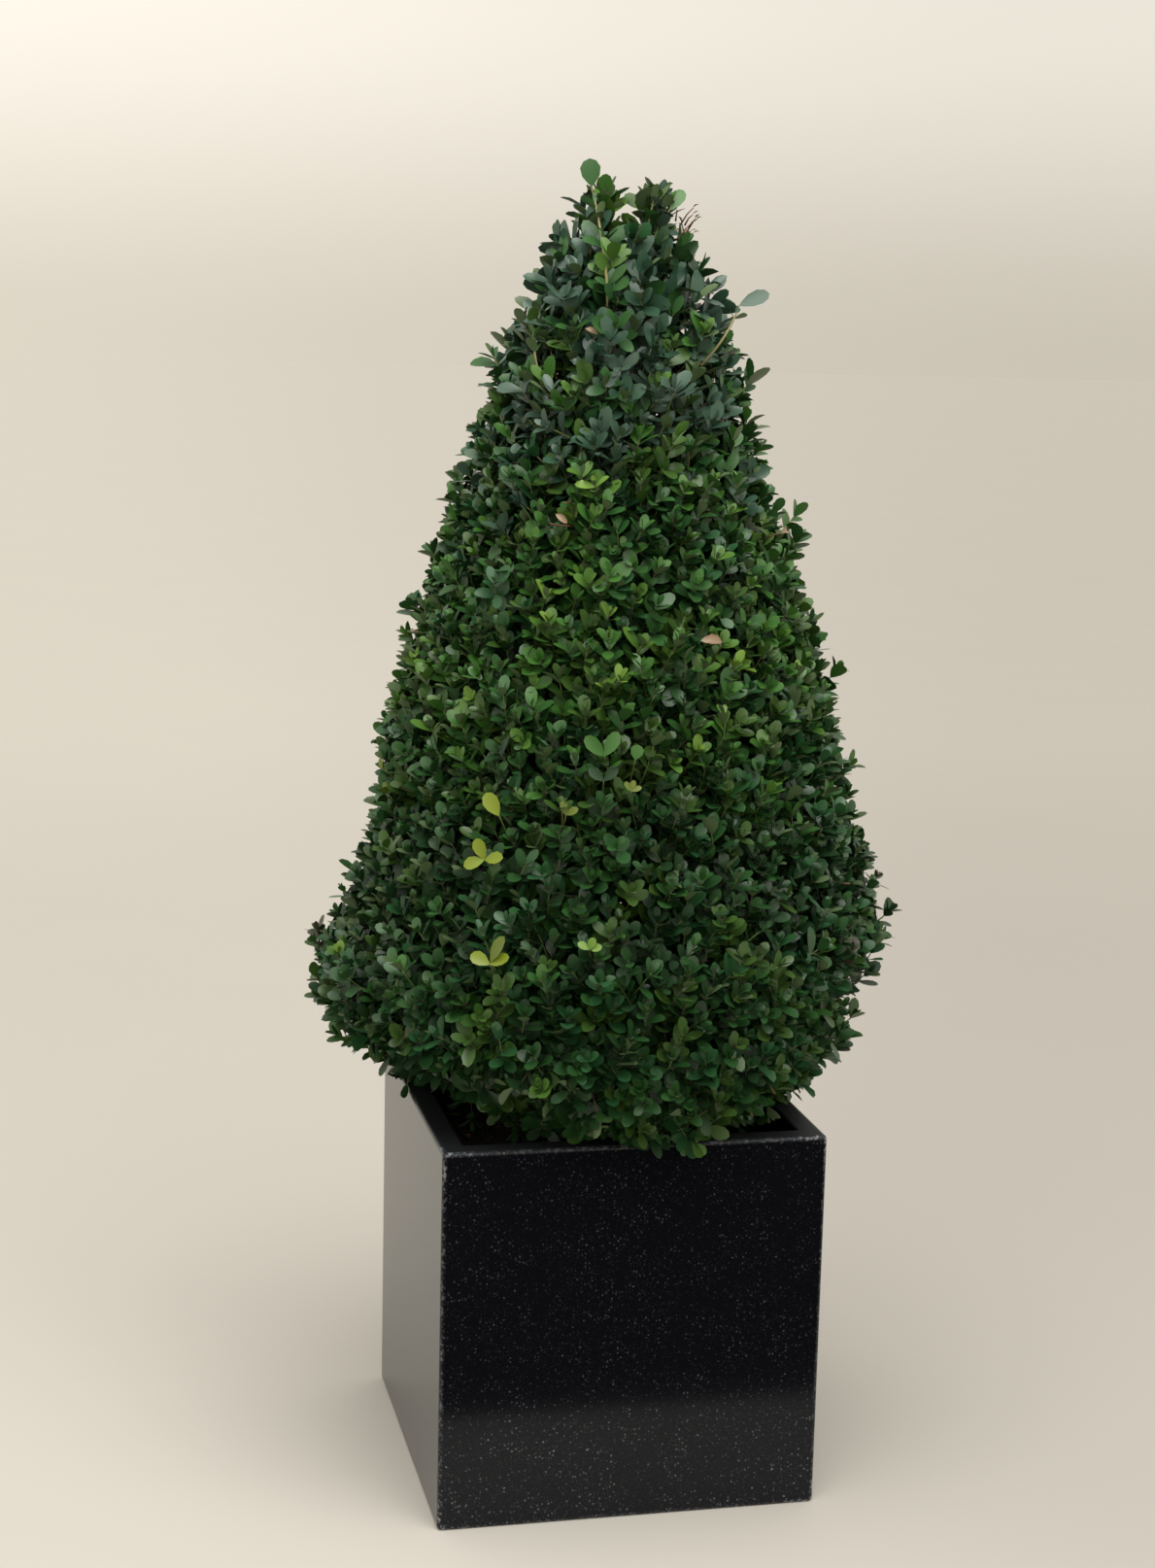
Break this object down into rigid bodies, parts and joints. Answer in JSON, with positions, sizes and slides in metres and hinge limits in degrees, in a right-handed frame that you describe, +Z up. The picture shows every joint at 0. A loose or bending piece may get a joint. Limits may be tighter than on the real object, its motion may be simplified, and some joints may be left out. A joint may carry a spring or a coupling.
{
  "type": "boxwood cone topiary",
  "caption": "Boxwood shrub clipped to a round cone, growing in a square speckled terrazzo planter.",
  "frame": {"origin": "middle of the planter's flat underside", "axes": "+Z up along the trunk; -Y out of the planter's front face; +X to the right seen from the front"},
  "size_m": [0.6273, 0.6286, 1.3802],
  "materials": {
    "terrazzo": "gloss",
    "compost": "matte",
    "bark": "matte",
    "shoot": "matte",
    "foliage": "satin",
    "top_foliage": "satin"
  },
  "bodies": {
    "root": {"planter": "terrazzo", "compost": "compost", "trunk": "bark", "bough_skirt_1": "bark", "bough_skirt_2": "bark", "bough_skirt_3": "bark", "bough_skirt_4": "bark", "bough_skirt_5": "bark", "bough_middle_1": "bark", "bough_middle_2": "bark", "bough_middle_3": "bark", "bough_middle_4": "bark", "bough_upper_1": "bark", "bough_upper_2": "bark", "bough_upper_3": "bark", "leader_left": "shoot", "leader_right": "shoot", "leader_back": "shoot", "foliage_skirt_1": "foliage", "foliage_skirt_2": "foliage", "foliage_skirt_3": "foliage", "foliage_skirt_4": "foliage", "foliage_skirt_5": "foliage", "foliage_middle_1": "foliage", "foliage_middle_2": "foliage", "foliage_middle_3": "foliage", "foliage_middle_4": "foliage", "foliage_upper_1": "foliage", "foliage_upper_2": "foliage", "foliage_upper_3": "foliage", "tuft_left": "top_foliage", "tuft_right": "top_foliage", "tuft_back": "top_foliage"}
  },
  "joints": []
}
